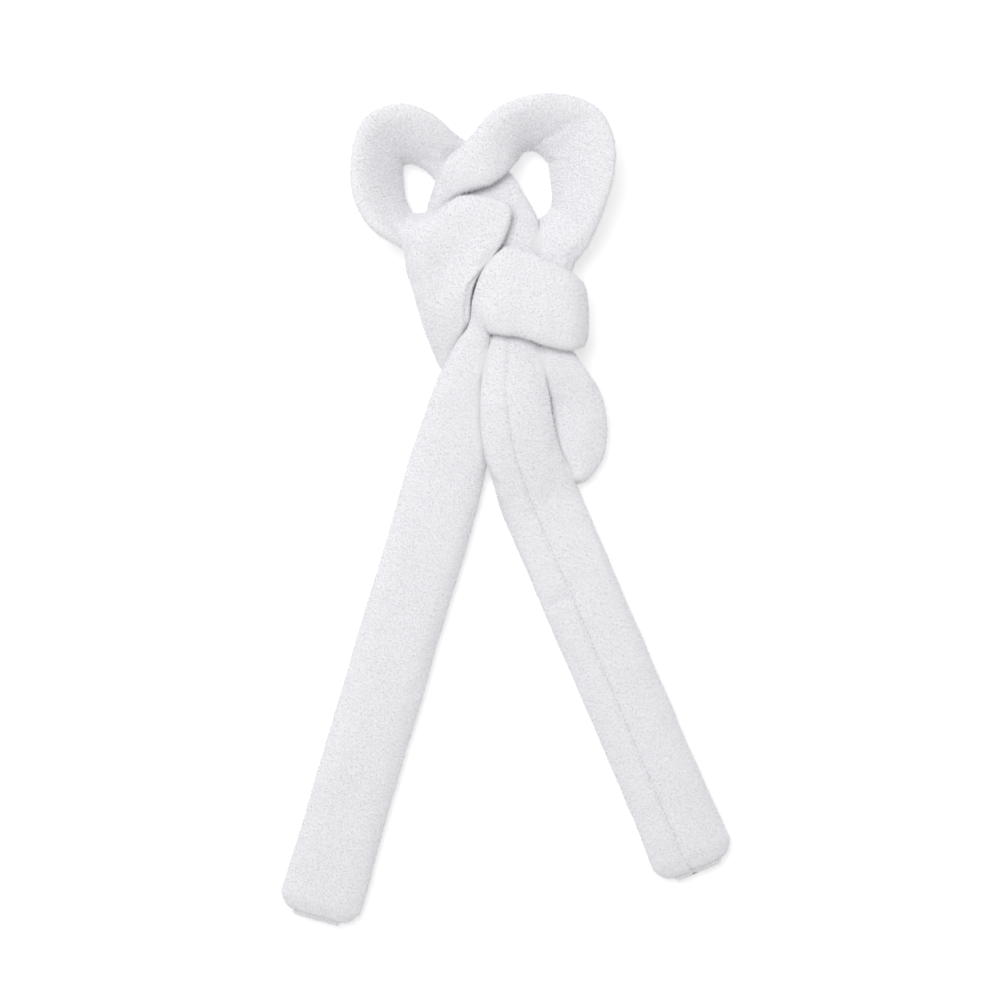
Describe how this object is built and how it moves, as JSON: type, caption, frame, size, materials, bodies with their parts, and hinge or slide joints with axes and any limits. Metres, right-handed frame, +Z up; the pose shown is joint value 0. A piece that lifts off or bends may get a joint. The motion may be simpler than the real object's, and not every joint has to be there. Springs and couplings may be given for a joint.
{
  "type": "spa headband",
  "caption": "Long padded plush band tied in a two-loop bow knot with two loose tails, lying flat.",
  "frame": {"origin": "middle of the footprint, on the surface the band lies on", "axes": "+Z up out of the surface, +Y from the tails towards the loops"},
  "size_m": [0.2714, 0.4994, 0.0343],
  "materials": {
    "plush": "short white plush pile",
    "wadding": "soft polyester wadding",
    "thread": "white sewing thread"
  },
  "bodies": {
    "knot": {"right_tail_root_cover": "plush", "right_tail_root_wadding": "wadding", "right_tail_root_seam": "thread", "left_leg_cover": "plush", "left_leg_wadding": "wadding", "knot_front_cover": "plush", "knot_front_wadding": "wadding", "under_pass_cover": "plush", "under_pass_wadding": "wadding", "side_bulge_cover": "plush", "side_bulge_wadding": "wadding", "right_leg_cover": "plush", "right_leg_wadding": "wadding", "crossing_strand_cover": "plush", "crossing_strand_wadding": "wadding", "rear_pass_cover": "plush", "rear_pass_wadding": "wadding", "wrap_cover": "plush", "wrap_wadding": "wadding", "left_tail_root_cover": "plush", "left_tail_root_wadding": "wadding", "left_tail_root_seam": "thread"},
    "left_loop": {"left_loop_cover": "plush", "left_loop_wadding": "wadding"},
    "right_loop": {"right_loop_cover": "plush", "right_loop_wadding": "wadding"},
    "right_tail": {"right_tail_upper_cover": "plush", "right_tail_upper_wadding": "wadding", "right_tail_upper_seam": "thread"},
    "right_tail_tip": {"right_tail_end_cover": "plush", "right_tail_end_wadding": "wadding", "right_tail_end_seam": "thread"},
    "left_tail": {"left_tail_upper_cover": "plush", "left_tail_upper_wadding": "wadding", "left_tail_upper_seam": "thread"},
    "left_tail_tip": {"left_tail_end_cover": "plush", "left_tail_end_wadding": "wadding", "left_tail_end_seam": "thread"}
  },
  "joints": [
    {"name": "right_tail_lift", "type": "hinge", "parent": "knot", "child": "right_tail", "pos_m": [0.0232, 0.00251, 0.0126], "axis": [-0.9191, -0.3939, 0], "range_deg": [0, 70]},
    {"name": "right_tail_curl", "type": "hinge", "parent": "right_tail", "child": "right_tail_tip", "pos_m": [0.07007, -0.10686, 0.0126], "axis": [-0.9191, -0.3939, 0], "range_deg": [0, 45]},
    {"name": "left_tail_lift", "type": "hinge", "parent": "knot", "child": "left_tail", "pos_m": [-0.0411, 0.00671, 0.0126], "axis": [-0.9593, 0.2823, 0], "range_deg": [0, 70]},
    {"name": "left_tail_curl", "type": "hinge", "parent": "left_tail", "child": "left_tail_tip", "pos_m": [-0.07823, -0.11943, 0.0126], "axis": [-0.9593, 0.2823, 0], "range_deg": [0, 45]},
    {"name": "left_loop_fold", "type": "hinge", "parent": "knot", "child": "left_loop", "pos_m": [-0.05081, 0.19601, 0.036], "axis": [0.47, 0.8827, 0], "range_deg": [0, 35]},
    {"name": "right_loop_fold", "type": "hinge", "parent": "knot", "child": "right_loop", "pos_m": [0.01769, 0.19721, 0.037], "axis": [0.71, -0.7042, 0], "range_deg": [0, 35]}
  ]
}
